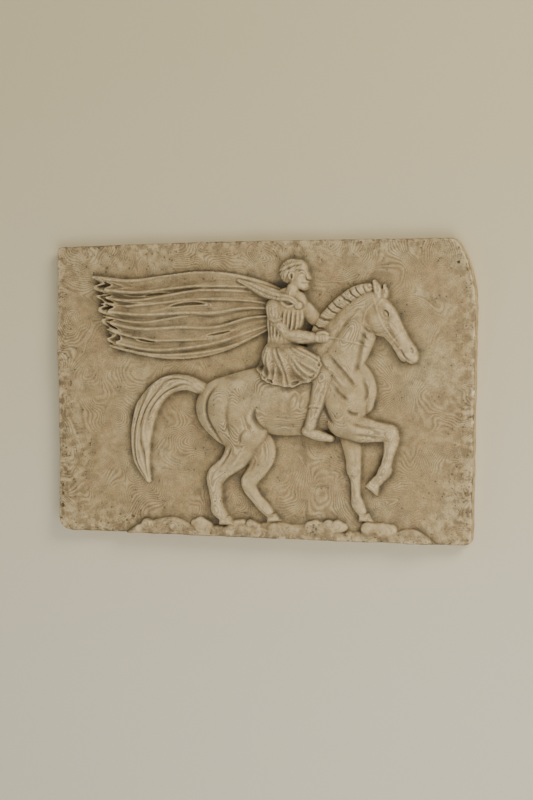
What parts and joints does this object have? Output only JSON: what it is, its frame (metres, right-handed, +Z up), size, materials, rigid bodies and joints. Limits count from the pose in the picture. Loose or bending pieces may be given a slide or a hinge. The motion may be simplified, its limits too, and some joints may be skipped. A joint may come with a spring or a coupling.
{
  "type": "marble relief plaque",
  "caption": "Rectangular marble wall plaque carved in relief with a cloaked rider on a pacing horse, one top corner broken and worn round, with a flat back for fixing to a wall.",
  "frame": {"origin": "centre of the flat back, on the wall plane", "axes": "+X to the viewer's right, +Z up, +Y into the wall; the carved face looks along -Y"},
  "size_m": [0.6, 0.0515, 0.406],
  "materials": {
    "marble": "aged matte marble, warm beige with dirt in the recesses and paler rubbed heights"
  },
  "bodies": {
    "root": {"relief_slab": "marble"}
  },
  "joints": []
}
